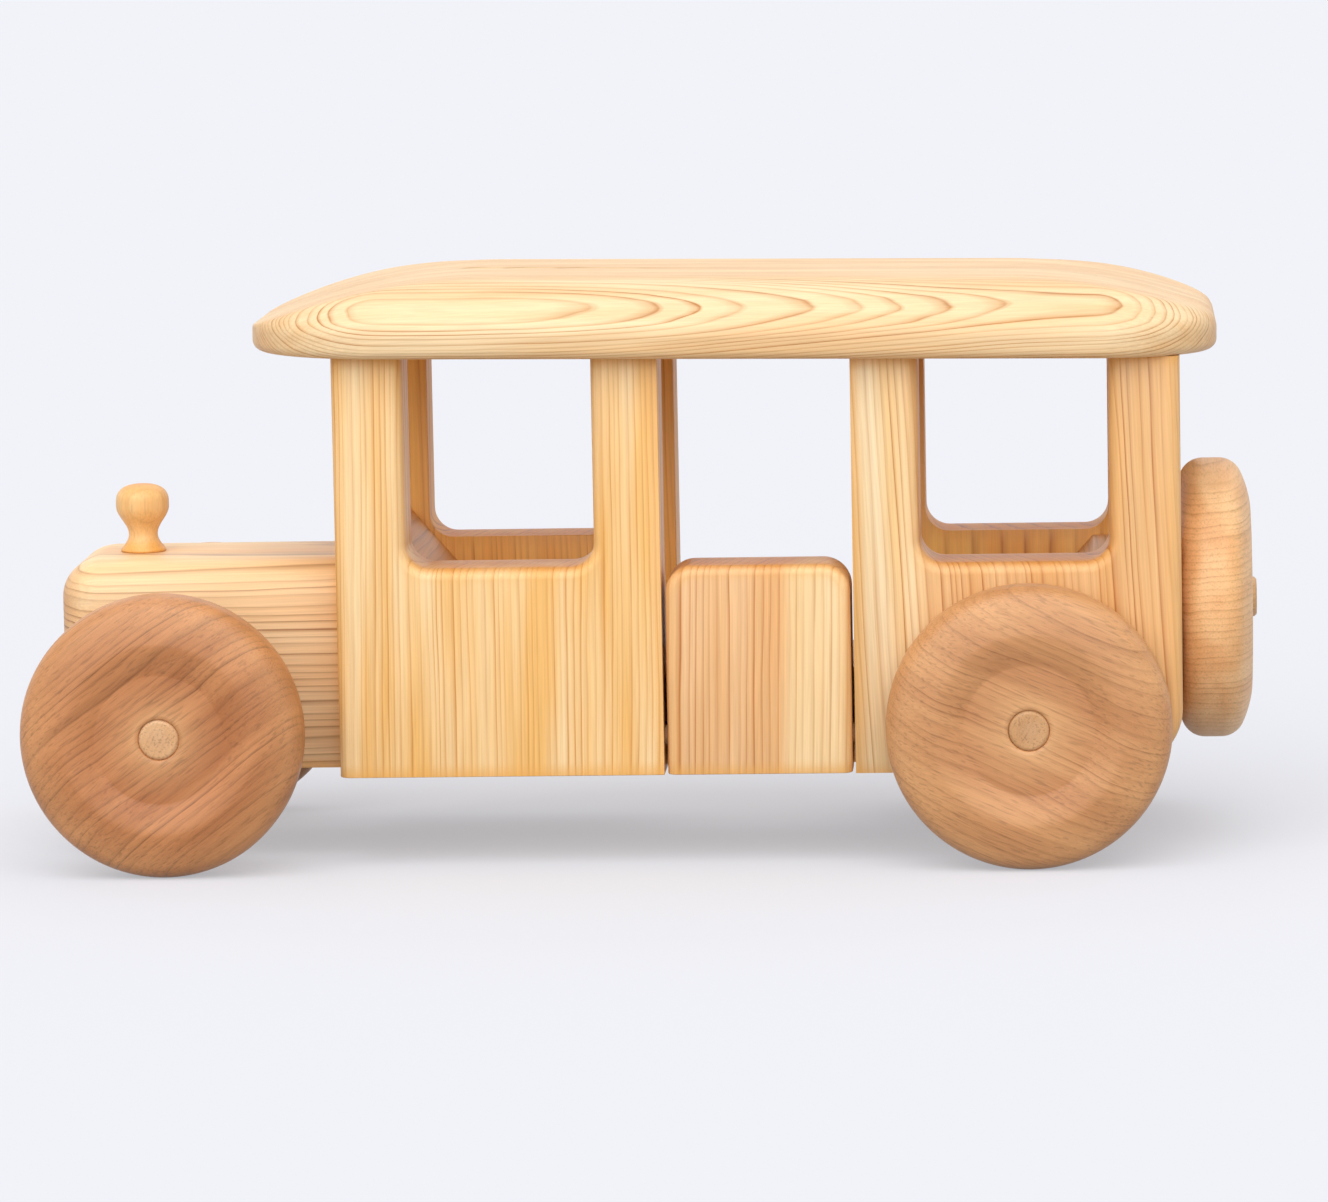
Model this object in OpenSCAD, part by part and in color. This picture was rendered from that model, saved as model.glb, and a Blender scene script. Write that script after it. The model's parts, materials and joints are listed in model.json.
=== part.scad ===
// Wooden toy bus: two pairs of notched side panels on a floor board, a bonnet block in front,
// a rounded roof board, a drop-down side door and turned wheels on dowel axles.
// Front is towards -X, the left side towards -Y, and Z = 0 is the floor under the wheels.

/* [Wheels and axles] */
// Diameter of every wheel
wheel_diameter = 70; // [60:1:76]
// Thickness of every wheel at its hub
wheel_width = 18; // [15:0.5:22]
// Radius of the tread's rounded edges
tread_radius = 6; // [4:0.5:7]
// Width of the level tread between its rounded edges
tread_flat = 4; // [2:0.5:5]
// Diameter of the flat hub face
hub_face_diameter = 40; // [34:1:46]
// Diameter of the dished centre's floor
dish_diameter = 32; // [24:1:33]
// Depth of the dished centre
dish_depth = 2.5; // [1:0.25:4]
// Diameter of the dowel axles and of the spare wheel's peg
axle_diameter = 10; // [8:0.5:11]
// How far an axle stands out of the dish's floor
axle_proud = 0.5; // [0.2:0.1:1.5]
// Distance between the two axles
wheelbase = 213; // [205:1:225]
// Gap between the rear wheels and the side panels
wheel_side_gap = 1.5; // [1:0.25:3]

/* [Side panels] */
// Length of one side panel
panel_length = 80.5; // [78:0.5:90]
// Height of the side panels at the bus's front end
panel_height = 104.5; // [98:0.5:120]
// Thickness of the side panels
panel_thickness = 18; // [16:0.5:22]
// Height of the axles above the panels' underside
axle_height = 12.6; // [11:0.1:14]
// Height of the windows' sills above the panels' underside
sill_height = 51.8; // [48:0.2:56]
// Width of the post at the bus's front and rear ends
outer_post = 17.5; // [16:0.5:20]
// Width of the window between the posts
window_width = 46.5; // [42:0.5:48]
// Radius in the window's lower corners
window_corner_radius = 6; // [4:0.5:9]
// Radius of the cabin's lower rear corner
heel_radius = 15; // [10:0.5:18]
// Rounding of the window's and the panel's outer edges
panel_edge_radius = 3; // [1.5:0.25:4]
// Distance from the front axle back to the first panel
panel_setback = 42.5; // [40:0.5:46]

/* [Doorway and door] */
// Clear width between the front and the rear panels
doorway_width = 47.2; // [44:0.2:54]
// Gap on each side of the door
door_gap = 0.8; // [0.5:0.1:1.2]
// Height of the door
door_height = 51.8; // [48:0.2:60]
// Radius of the door's upper corners
door_corner_radius = 7; // [5:0.5:10]
// Rounding of the door's outer edges
door_edge_radius = 2.5; // [1:0.25:4]
// Clearance between the door and the floor board's edge
door_back_gap = 0.5; // [0.3:0.1:1]
// Height of the hinge pins above the door's underside
hinge_height = 9; // [8:0.5:10]
// Depth of the hinge pins behind the door's outer face
hinge_depth = 7.5; // [6.5:0.25:8]
// Diameter of the hinge pins
hinge_pin_diameter = 5; // [4:0.5:6]
// How far a hinge pin reaches into the door and into the panel
hinge_pin_reach = 13; // [10:0.5:16]

/* [Floor, bonnet and inner blocks] */
// Width of the floor board, the bonnet and the inner blocks
core_width = 50; // [46:1:60]
// Thickness of the floor board
floor_thickness = 24; // [22:0.5:28]
// Length of the bonnet ahead of the panels
bonnet_length = 71.6; // [68:0.2:76]
// Height of the bonnet block
bonnet_height = 52.1; // [48:0.1:56]
// Radius of the bonnet's front corners seen from above
bonnet_corner_radius = 11; // [10:0.5:16]
// Rounding of the bonnet's upper edges
bonnet_edge_radius = 9.5; // [5:0.5:10]
// Height of the dash block's top above the sills
dash_rise = 8.2; // [4:0.2:12]
// Length of the dash block's level top
dash_top_length = 12; // [8:0.5:16]
// Length of the dash block
dash_length = 30; // [24:0.5:36]
// Slope of the inner faces of the dash and tail blocks, in degrees
block_slope = 49; // [40:1:56]
// Depth of the tail block's top below the sills
tail_drop = 1.4; // [0:0.2:4]
// Length of the tail block's level top
tail_top_length = 21.5; // [18:0.5:24]
// Length of the tail block
tail_length = 33; // [28:0.5:35]

/* [Roof] */
// Width of the roof board
roof_width = 102; // [96:1:114]
// Thickness of the roof board
roof_thickness = 18.5; // [17:0.5:22]
// Overhang of the roof ahead of the front posts
roof_front_overhang = 21.5; // [16:0.5:30]
// Overhang of the roof behind the rear posts
roof_rear_overhang = 9.4; // [6:0.2:14]
// Fall of the roof towards the rear, in degrees
roof_fall = 0.7; // [0:0.1:1]
// Radius of the roof's front corners seen from above
roof_front_corner = 33; // [28:1:42]
// Radius of the roof's rear corners seen from above
roof_rear_corner = 30; // [28:1:38]
// Width of the crowned border round the roof's top
roof_crown_reach = 25.5; // [18:0.5:28]
// Drop of the crowned border from the roof's top to its side
roof_crown_drop = 13.3; // [10:0.1:13.5]
// Radius where the crown turns down into the roof's side
roof_lip_radius = 5.5; // [2:0.25:6]
// Rounding of the roof's lower edge
roof_bottom_radius = 2.5; // [1:0.25:2.5]
// Length over which the roof's top bows down to the front
roof_front_bow_length = 58.5; // [50:0.5:80]
// Depth of that bow at the front end
roof_front_bow = 12.4; // [4:0.2:13]
// Length over which the roof's top bows down to the rear
roof_rear_bow_length = 52; // [44:0.5:60]
// Depth of that bow at the rear end
roof_rear_bow = 9.4; // [2:0.2:10]

/* [Cap, spare wheel and dowels] */
// Height of the turned cap above the bonnet
cap_height = 17.1; // [15:0.1:22]
// Largest diameter of the cap's head
cap_head_diameter = 13.4; // [11:0.2:16]
// Diameter of the cap's neck
cap_neck_diameter = 7.6; // [7:0.2:9]
// Diameter of the cap's foot
cap_foot_diameter = 11.4; // [10:0.2:13]
// Diameter of the cap's tenon
cap_tenon_diameter = 6; // [5:0.5:6.5]
// Length of the cap's tenon
cap_tenon_length = 12; // [8:0.5:16]
// Distance of the cap ahead of the front axle
cap_ahead = 10.4; // [6:0.2:14]
// Height of the spare wheel's centre above the panels' underside
spare_rise = 37.2; // [36:0.2:39]
// How far the spare wheel's peg stands out behind
peg_proud = 1.2; // [0.5:0.1:2]
// How far the spare wheel's peg reaches into the tail block
peg_reach = 20; // [15:0.5:21]
// Diameter of the joining dowels
dowel_diameter = 8; // [6:0.5:9]
// How far a joining dowel reaches into a post, the bonnet or the floor board
dowel_reach = 18; // [14:0.5:22]
// How far a joining dowel reaches into the roof
roof_dowel_reach = 11; // [8:0.5:12]
// Outer diameter of the front axle's spacers
spacer_diameter = 18; // [15:0.5:20]
// Play between a front spacer and its wheel
spacer_play = 0.6; // [0.3:0.1:1]

/* [Fits] */
// Radial clearance of a turning shaft
running_clearance = 0.1; // [0.05:0.01:0.1]
// Radial clearance of a glued dowel
glue_clearance = 0.05; // [0.02:0.01:0.08]

/* [Hidden] */
$fn = 72;

// A little extra so that a cut passes clear through a face
overcut = 1;
wheel_radius = wheel_diameter / 2;
axle_radius = axle_diameter / 2;
hinge_pin_radius = hinge_pin_diameter / 2;
dowel_radius = dowel_diameter / 2;
half_body = core_width / 2 + panel_thickness;
half_core = core_width / 2;
inner_post = panel_length - outer_post - window_width;

// Places along the bus, counted so that the origin is midway between its ends
cabin_length = 2 * panel_length + doorway_width;
overall_length = wheel_radius + panel_setback + cabin_length + wheel_width + peg_proud;
front_axle_x = wheel_radius - overall_length / 2;
rear_axle_x = front_axle_x + wheelbase;
cabin_front_x = front_axle_x + panel_setback;
doorway_front_x = cabin_front_x + panel_length;
doorway_rear_x = doorway_front_x + doorway_width;
cabin_rear_x = cabin_front_x + cabin_length;
bonnet_front_x = cabin_front_x - bonnet_length;

// Heights above the floor
ground_clearance = wheel_radius - axle_height;
sill_z = ground_clearance + sill_height;
floor_top_z = ground_clearance + floor_thickness;
roof_z = ground_clearance + panel_height;
bonnet_top_z = ground_clearance + bonnet_height;
hinge_z = ground_clearance + hinge_height;
spare_z = ground_clearance + spare_rise;
function roof_underside_z(x) = roof_z - (x - cabin_front_x) * tan(roof_fall);

// Places across the bus
wheel_inner_y = half_body + wheel_side_gap;
dish_floor_y = wheel_inner_y + wheel_width - dish_depth;
axle_half_length = dish_floor_y + axle_proud;
hinge_y = -half_body + hinge_depth;
door_width = doorway_width - 2 * door_gap;
door_thickness = panel_thickness - door_back_gap;

larch = "#E8BE84";
door_pine = "#E0B07A";
alder = "#C08A58";
dowel_birch = "#DDB98C";

// Corner waste between two faces and the arc of radius r that rounds them
// (the corner is at the origin and the wood lies towards +X and +Y)
module corner_waste(r) {
  difference() {
    translate([-overcut, -overcut]) square(r + overcut);
    translate([r, r]) circle(r);
  }
}

// The same corner crowned by a flat arc that runs into a small lip arc
module crown_waste(reach, drop, lip) {
  crown_radius = (pow(reach - lip, 2) + drop * drop - lip * lip) / (2 * (drop - lip));
  meet = reach - (reach - lip) * crown_radius / (crown_radius - lip);
  difference() {
    translate([-overcut, -overcut]) square([reach + overcut, drop + overcut]);
    translate([lip, drop]) circle(lip);
    intersection() {
      translate([reach, crown_radius]) circle(crown_radius);
      translate([meet, -overcut]) square([reach, drop + 2 * overcut]);
    }
  }
}

// Waste of a given section along a straight edge that runs in +X
module edge_waste(length) {
  rotate([90, 0, 90]) linear_extrude(length) children();
}

// Waste of a given section along the quarter of an arc that turns about Z from angle start
// (an outer arc rounds a disc's rim, and an inner one a hole's)
module arc_waste(radius, start, outer = true) {
  rotate([0, 0, start]) rotate_extrude(angle = 90)
    intersection() {
      translate([radius, 0]) mirror([outer ? 1 : 0, 0]) children();
      translate([0, -overcut]) square(2 * radius + roof_crown_reach);
    }
}

// Rectangle from the origin with its two far corners rounded
module round_topped(width, height, r) {
  difference() {
    square([width, height]);
    translate([0, height]) mirror([0, 1]) corner_waste(r);
    translate([width, height]) mirror([1, 0]) mirror([0, 1]) corner_waste(r);
  }
}

// Hole for a shaft along X, Y or Z
module bore_x(length, r) {
  rotate([0, 90, 0]) cylinder(h = length, r = r);
}

module bore_y(length, r) {
  rotate([-90, 0, 0]) cylinder(h = length, r = r);
}

// Outline of a side panel with its open-topped window, from the outer end to the doorway
module panel_outline(sill, outer_height, inner_height, heel) {
  difference() {
    polygon([[0, 0], [panel_length, 0], [panel_length, inner_height], [0, outer_height]]);
    translate([outer_post, panel_height + overcut]) mirror([0, 1])
      round_topped(window_width, panel_height + overcut - sill, window_corner_radius);
    if (heel > 0) corner_waste(heel);
  }
}

// Rounding of a panel's outer face round the window and down its outer end
module panel_edge_cuts(sill, heel) {
  r = panel_edge_radius;
  corner = window_corner_radius;
  straight = panel_height - sill - corner + overcut;
  window_end = outer_post + window_width;
  translate([outer_post, 0, sill + corner]) mirror([1, 0, 0]) linear_extrude(straight) corner_waste(r);
  translate([window_end, 0, sill + corner]) linear_extrude(straight) corner_waste(r);
  translate([outer_post + corner, 0, sill]) mirror([0, 0, 1])
    edge_waste(window_width - 2 * corner) corner_waste(r);
  translate([outer_post + corner, 0, sill + corner]) rotate([-90, 0, 0])
    arc_waste(corner, 90, outer = false) corner_waste(r);
  translate([window_end - corner, 0, sill + corner]) rotate([-90, 0, 0])
    arc_waste(corner, 0, outer = false) corner_waste(r);
  translate([0, 0, heel > 0 ? heel : -overcut]) linear_extrude(panel_height + 2 * overcut) corner_waste(r);
  if (heel > 0)
    translate([heel, 0, heel]) rotate([-90, 0, 0]) arc_waste(heel, 90) corner_waste(r);
}

// Side panel with its outer end at X = 0 and its outer face at Y = 0
module side_panel(sill, outer_height, inner_height, hinged, heel) {
  difference() {
    translate([0, panel_thickness, 0]) rotate([90, 0, 0]) linear_extrude(panel_thickness)
      panel_outline(sill, outer_height, inner_height, heel);
    panel_edge_cuts(sill, heel);
    if (hinged)
      translate([panel_length - hinge_pin_reach, hinge_depth, hinge_height])
        bore_x(hinge_pin_reach + overcut, hinge_pin_radius + glue_clearance);
  }
}

module front_panel(hinged) {
  difference() {
    translate([cabin_front_x, -half_body, ground_clearance])
      side_panel(sill_height, panel_height, roof_underside_z(doorway_front_x) - ground_clearance,
                 hinged, 0);
    roof_dowel_set(dowel_radius + glue_clearance);
  }
}

module rear_panel(hinged) {
  difference() {
    translate([cabin_rear_x, -half_body, ground_clearance]) mirror([1, 0, 0])
      side_panel(sill_height, roof_underside_z(cabin_rear_x) - ground_clearance,
                 roof_underside_z(doorway_rear_x) - ground_clearance, hinged, heel_radius);
    translate([rear_axle_x, -half_body - overcut, wheel_radius])
      bore_y(panel_thickness + 2 * overcut, axle_radius + running_clearance);
    roof_dowel_set(dowel_radius + glue_clearance);
  }
}

module front_left_side() {
  color(larch) front_panel(true);
}

module front_right_side() {
  color(larch) mirror([0, 1, 0]) front_panel(false);
}

module rear_left_side() {
  color(larch) rear_panel(true);
}

module rear_right_side() {
  color(larch) mirror([0, 1, 0]) rear_panel(false);
}

// Dowels between the bonnet and the floor board
bonnet_dowel_y = core_width / 4;

module bonnet_dowel_set(r) {
  for (side = [-1, 1])
    translate([cabin_front_x - dowel_reach, side * bonnet_dowel_y, ground_clearance + floor_thickness / 2])
      bore_x(2 * dowel_reach, r);
}

module floor_board() {
  color(larch) difference() {
    translate([cabin_rear_x, half_core, ground_clearance]) mirror([1, 0, 0]) rotate([90, 0, 0])
      linear_extrude(core_width) difference() {
        square([cabin_length, floor_thickness]);
        corner_waste(heel_radius);
      }
    bonnet_dowel_set(dowel_radius + glue_clearance);
    translate([rear_axle_x, -half_core - overcut, wheel_radius])
      bore_y(core_width + 2 * overcut, axle_radius + running_clearance);
  }
}

// Block across the cabin: level top, then a slope that ends above an upright inner face
module sloped_block(length, top_length, height) {
  slope_drop = (length - top_length) * tan(block_slope);
  rotate([90, 0, 0]) translate([0, 0, -half_core]) linear_extrude(core_width)
    polygon([[0, 0], [length, 0], [length, height - slope_drop], [top_length, height], [0, height]]);
}

module dash_block() {
  color(larch) translate([cabin_front_x, 0, floor_top_z])
    sloped_block(dash_length, dash_top_length, sill_z + dash_rise - floor_top_z);
}

module tail_block() {
  color(larch) difference() {
    translate([cabin_rear_x, 0, floor_top_z]) mirror([1, 0, 0])
      sloped_block(tail_length, tail_top_length, sill_z - tail_drop - floor_top_z);
    translate([cabin_rear_x - peg_reach, 0, spare_z])
      bore_x(peg_reach + overcut, axle_radius + glue_clearance);
  }
}

// Waste of a given section round the bonnet's sides and front, at Z = 0
module bonnet_edge_cuts() {
  corner = bonnet_corner_radius;
  front_straight = core_width - 2 * corner;
  for (side = [0, 1]) mirror([0, side, 0]) {
    translate([corner, -half_core, 0]) edge_waste(bonnet_length - corner + overcut) children();
    translate([corner, half_core - corner, 0]) arc_waste(corner, 90) children();
  }
  translate([0, front_straight / 2, 0]) rotate([0, 0, -90]) edge_waste(front_straight) children();
}

module bonnet() {
  color(larch) difference() {
    translate([bonnet_front_x, 0, ground_clearance]) difference() {
      translate([bonnet_length, -half_core, 0]) rotate([0, 0, 90]) linear_extrude(bonnet_height)
        round_topped(core_width, bonnet_length, bonnet_corner_radius);
      translate([0, 0, bonnet_height]) mirror([0, 0, 1])
        bonnet_edge_cuts() corner_waste(bonnet_edge_radius);
    }
    bonnet_dowel_set(dowel_radius + glue_clearance);
    translate([front_axle_x, -half_core - overcut, wheel_radius])
      bore_y(core_width + 2 * overcut, axle_radius + running_clearance);
    translate([front_axle_x - cap_ahead, 0, bonnet_top_z - cap_tenon_length - glue_clearance])
      cylinder(h = cap_tenon_length + overcut, r = cap_tenon_diameter / 2 + glue_clearance);
  }
}

module bonnet_dowels() {
  color(dowel_birch) bonnet_dowel_set(dowel_radius);
}

// Turned cap: radius at each share of its height, from the foot through the neck to the domed head
cap_steps = 8;
cap_foot_share = 0.08;
cap_neck_share = 0.28;
cap_head_share = 0.74;
cap_crown_radius = 3;
function ease(t) = (1 - cos(180 * t)) / 2;
cap_foot_r = cap_foot_diameter / 2;
cap_neck_r = cap_neck_diameter / 2;
cap_head_r = cap_head_diameter / 2;
cap_points = concat(
  [[0, 0], [cap_foot_r, 0]],
  [for (i = [0:cap_steps]) let (t = i / cap_steps)
    [cap_foot_r + (cap_neck_r - cap_foot_r) * sin(90 * t),
     cap_height * (cap_foot_share + (cap_neck_share - cap_foot_share) * t)]],
  [for (i = [1:cap_steps]) let (t = i / cap_steps)
    [cap_neck_r + (cap_head_r - cap_neck_r) * ease(t),
     cap_height * (cap_neck_share + (cap_head_share - cap_neck_share) * t)]],
  [for (i = [1:cap_steps]) let (t = i / cap_steps)
    [cap_crown_radius + (cap_head_r - cap_crown_radius) * cos(90 * t),
     cap_height * (cap_head_share + (1 - cap_head_share) * sin(90 * t))]],
  [[0, cap_height]]
);

module bonnet_cap() {
  color(dowel_birch) translate([front_axle_x - cap_ahead, 0, bonnet_top_z]) {
    rotate_extrude() polygon(cap_points);
    translate([0, 0, -cap_tenon_length]) cylinder(h = cap_tenon_length + overcut, r = cap_tenon_diameter / 2);
  }
}

// Roof outline seen from above, with the front at X = 0
roof_length = cabin_length + roof_front_overhang + roof_rear_overhang;

module roof_outline() {
  half = roof_width / 2;
  for (side = [0, 1]) mirror([0, side]) difference() {
    square([roof_length, half]);
    translate([0, half]) mirror([0, 1]) corner_waste(roof_front_corner);
    translate([roof_length, half]) mirror([1, 0]) mirror([0, 1]) corner_waste(roof_rear_corner);
  }
}

// Waste of a given section all round the roof's lower edge, at Z = 0
module roof_edge_cuts() {
  half = roof_width / 2;
  side_length = roof_length - roof_front_corner - roof_rear_corner;
  front_straight = roof_width - 2 * roof_front_corner;
  rear_straight = roof_width - 2 * roof_rear_corner;
  for (side = [0, 1]) mirror([0, side, 0]) {
    translate([roof_front_corner, -half, 0]) edge_waste(side_length) children();
    translate([roof_front_corner, half - roof_front_corner, 0]) arc_waste(roof_front_corner, 90) children();
    translate([roof_length - roof_rear_corner, half - roof_rear_corner, 0])
      arc_waste(roof_rear_corner, 0) children();
  }
  translate([0, front_straight / 2, 0]) rotate([0, 0, -90]) edge_waste(front_straight) children();
  translate([roof_length, -rear_straight / 2, 0]) rotate([0, 0, 90]) edge_waste(rear_straight) children();
}

// Waste above a bow that leaves the top level at X = length and is lowest at X = 0
module bow_cut(length, depth) {
  bow_radius = (length * length + depth * depth) / (2 * depth);
  translate([0, roof_width / 2 + overcut, 0]) rotate([90, 0, 0]) linear_extrude(roof_width + 2 * overcut)
    difference() {
      translate([-overcut, roof_thickness - depth - overcut]) square([length + overcut, depth + 2 * overcut]);
      translate([length, roof_thickness - bow_radius]) circle(bow_radius);
    }
}

// Roof board lying level, with its front at X = 0
module roof_board() {
  difference() {
    linear_extrude(roof_thickness) roof_outline();
    roof_edge_cuts() corner_waste(roof_bottom_radius);
    translate([0, 0, roof_thickness]) mirror([0, 0, 1])
      roof_edge_cuts() crown_waste(roof_crown_reach, roof_crown_drop, roof_lip_radius);
    bow_cut(roof_front_bow_length, roof_front_bow);
    translate([roof_length, 0, 0]) mirror([1, 0, 0]) bow_cut(roof_rear_bow_length, roof_rear_bow);
  }
}

// Dowels between the posts and the roof
module roof_dowel_set(r) {
  length = dowel_reach + roof_dowel_reach;
  from_ends = [outer_post / 2, panel_length - inner_post / 2];
  for (x = concat([for (d = from_ends) cabin_front_x + d], [for (d = from_ends) cabin_rear_x - d]))
    for (side = [-1, 1])
      translate([x, side * (half_body - panel_thickness / 2), roof_underside_z(x) - dowel_reach])
        cylinder(h = length, r = r);
}

module roof() {
  color(larch) difference() {
    translate([cabin_front_x, 0, roof_z]) rotate([0, roof_fall, 0]) translate([-roof_front_overhang, 0, 0])
      roof_board();
    roof_dowel_set(dowel_radius + glue_clearance);
  }
}

module roof_dowels() {
  color(dowel_birch) roof_dowel_set(dowel_radius);
}

// Door with its outer face at Y = 0 and its lower front corner at the origin
module side_door() {
  r = door_edge_radius;
  corner = door_corner_radius;
  side_length = door_height - corner;
  color(door_pine) translate([doorway_front_x + door_gap, -half_body, ground_clearance]) difference() {
    translate([0, door_thickness, 0]) rotate([90, 0, 0]) linear_extrude(door_thickness)
      round_topped(door_width, door_height, corner);
    translate([0, 0, -overcut]) linear_extrude(side_length + overcut) corner_waste(r);
    translate([door_width, 0, -overcut]) mirror([1, 0, 0])
      linear_extrude(side_length + overcut) corner_waste(r);
    translate([corner, 0, door_height]) mirror([0, 0, 1]) edge_waste(door_width - 2 * corner) corner_waste(r);
    translate([corner, 0, side_length]) rotate([-90, 0, 0]) arc_waste(corner, 180) corner_waste(r);
    translate([door_width - corner, 0, side_length]) rotate([-90, 0, 0]) arc_waste(corner, 270) corner_waste(r);
    // The lower inner edge is rounded as far up as the hinge, so that it swings clear of the floor board
    translate([-overcut, door_thickness, 0]) mirror([0, 1, 0])
      edge_waste(door_width + 2 * overcut) corner_waste(hinge_height);
    for (x = [-overcut, door_width - hinge_pin_reach])
      translate([x, hinge_depth, hinge_height])
        bore_x(hinge_pin_reach + overcut, hinge_pin_radius + running_clearance);
  }
}

module door_hinge_pins() {
  // A pin's free end stops short of the bottom of its hole
  pin_length = 2 * hinge_pin_reach - door_gap;
  front_pin_x = doorway_front_x - hinge_pin_reach;
  rear_pin_x = doorway_rear_x + hinge_pin_reach - pin_length;
  color(dowel_birch) for (x = [front_pin_x, rear_pin_x])
    translate([x, hinge_y, hinge_z]) bore_x(pin_length, hinge_pin_radius);
}

// Half of a wheel's section: flat inner face, level tread with rounded edges, then a face arc up to the hub
module wheel_section() {
  hub = hub_face_diameter / 2;
  tread_centre = wheel_radius - tread_radius;
  outer_z = tread_radius + tread_flat;
  reach = tread_centre - hub;
  rise = wheel_width - outer_z;
  face_radius = (reach * reach + rise * rise - tread_radius * tread_radius) / (2 * (rise - tread_radius));
  meet = hub + reach * face_radius / (face_radius - tread_radius);
  dish_floor = wheel_width - dish_depth;
  difference() {
    union() {
      square([hub, wheel_width]);
      square([tread_centre, outer_z]);
      translate([0, tread_radius]) square([wheel_radius, tread_flat]);
      for (z = [tread_radius, outer_z]) translate([tread_centre, z]) circle(tread_radius);
      intersection() {
        translate([hub, wheel_width - face_radius]) circle(face_radius);
        translate([hub - overcut, tread_radius]) square([meet - hub + overcut, wheel_width - tread_radius]);
      }
    }
    translate([-overcut, -overcut])
      square([overcut + axle_radius + glue_clearance, wheel_width + 2 * overcut]);
    polygon([[0, dish_floor], [dish_diameter / 2, dish_floor],
             [hub, wheel_width], [hub, wheel_width + overcut], [0, wheel_width + overcut]]);
  }
}

// Wheel along Z with its dished face upwards and its inner face at Z = 0
module wheel() {
  color(alder) rotate_extrude() wheel_section();
}

module wheel_at(x, side) {
  translate([x, side * wheel_inner_y, wheel_radius]) rotate([-90 * side, 0, 0]) wheel();
}

module axle_at(x) {
  color(dowel_birch) translate([x, -axle_half_length, wheel_radius]) bore_y(2 * axle_half_length, axle_radius);
}

module front_axle() {
  axle_at(front_axle_x);
}

module rear_axle() {
  axle_at(rear_axle_x);
}

module front_left_wheel() {
  wheel_at(front_axle_x, -1);
}

module front_right_wheel() {
  wheel_at(front_axle_x, 1);
}

module rear_left_wheel() {
  wheel_at(rear_axle_x, -1);
}

module rear_right_wheel() {
  wheel_at(rear_axle_x, 1);
}

// Collar that fills the space between the narrow bonnet and a front wheel
module spacer(side) {
  length = wheel_inner_y - half_core - spacer_play;
  color(dowel_birch) translate([front_axle_x, side * half_core, wheel_radius]) rotate([-90 * side, 0, 0])
    difference() {
      cylinder(h = length, r = spacer_diameter / 2);
      translate([0, 0, -overcut]) cylinder(h = length + 2 * overcut, r = axle_radius + running_clearance);
    }
}

module front_left_spacer() {
  spacer(-1);
}

module front_right_spacer() {
  spacer(1);
}

module spare_wheel_peg() {
  color(dowel_birch) translate([cabin_rear_x - peg_reach, 0, spare_z])
    bore_x(peg_reach + wheel_width + peg_proud, axle_radius);
}

module spare_wheel() {
  translate([cabin_rear_x, 0, spare_z]) rotate([0, 90, 0]) wheel();
}

floor_board();
front_left_side();
front_right_side();
rear_left_side();
rear_right_side();
dash_block();
tail_block();
bonnet();
bonnet_cap();
bonnet_dowels();
roof();
roof_dowels();
side_door();
door_hinge_pins();
front_axle();
front_left_wheel();
front_right_wheel();
front_left_spacer();
front_right_spacer();
rear_axle();
rear_left_wheel();
rear_right_wheel();
spare_wheel_peg();
spare_wheel();
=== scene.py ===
"""Looks of a wooden toy bus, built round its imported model: oiled boards, turned wheels and dowels."""

import json
import math

import bmesh
import bpy
from mathutils import Matrix, Vector


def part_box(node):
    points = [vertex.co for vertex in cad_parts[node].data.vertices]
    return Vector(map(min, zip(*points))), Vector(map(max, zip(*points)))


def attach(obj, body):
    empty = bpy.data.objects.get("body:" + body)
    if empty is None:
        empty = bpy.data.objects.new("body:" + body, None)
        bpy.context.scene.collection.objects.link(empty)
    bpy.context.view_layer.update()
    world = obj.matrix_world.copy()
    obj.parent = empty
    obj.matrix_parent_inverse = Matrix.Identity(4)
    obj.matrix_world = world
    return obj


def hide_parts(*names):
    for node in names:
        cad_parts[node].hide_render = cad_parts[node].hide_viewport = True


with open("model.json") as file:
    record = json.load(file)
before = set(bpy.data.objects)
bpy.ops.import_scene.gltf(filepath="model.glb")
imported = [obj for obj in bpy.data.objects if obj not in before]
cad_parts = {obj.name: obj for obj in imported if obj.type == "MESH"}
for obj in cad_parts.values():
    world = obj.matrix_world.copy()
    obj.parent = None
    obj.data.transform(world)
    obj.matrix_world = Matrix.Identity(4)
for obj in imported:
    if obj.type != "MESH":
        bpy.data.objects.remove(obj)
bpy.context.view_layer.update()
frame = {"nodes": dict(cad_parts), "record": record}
NODES = frame["nodes"]
BODY_OF = {
    name: body
    for body, names in frame["record"]["behaviour"]["bodies"].items()
    for name in names
}
MM = 0.001


def linear(hex_colour):
    """An sRGB hex colour as linear RGBA."""
    channels = [int(hex_colour[i : i + 2], 16) / 255 for i in (1, 3, 5)]
    return (*[c / 12.92 if c <= 0.04045 else ((c + 0.055) / 1.055) ** 2.4 for c in channels], 1.0)


def add_node(tree, kind, inputs=None, **settings):
    """Adds a node with its settings; an input is a value or the socket that it is linked from."""
    made = tree.nodes.new(kind)
    for name, value in settings.items():
        setattr(made, name, value)
    for key, value in (inputs or {}).items():
        if isinstance(value, bpy.types.NodeSocket):
            tree.links.new(value, made.inputs[key])
        else:
            made.inputs[key].default_value = value
    return made


def seen_by_eye(tree):
    """1 where the eye sees a surface, straight or by a reflection, and 0 where it only sends light on."""
    path = add_node(tree, "ShaderNodeLightPath")
    mirrored = add_node(
        tree,
        "ShaderNodeMath",
        {0: path.outputs["Is Glossy Ray"], 1: path.outputs["Is Transmission Ray"]},
        operation="MAXIMUM",
    )
    seen = add_node(
        tree,
        "ShaderNodeMath",
        {0: path.outputs["Is Camera Ray"], 1: mirrored.outputs[0]},
        operation="MAXIMUM",
    )
    return seen.outputs[0]


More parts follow.
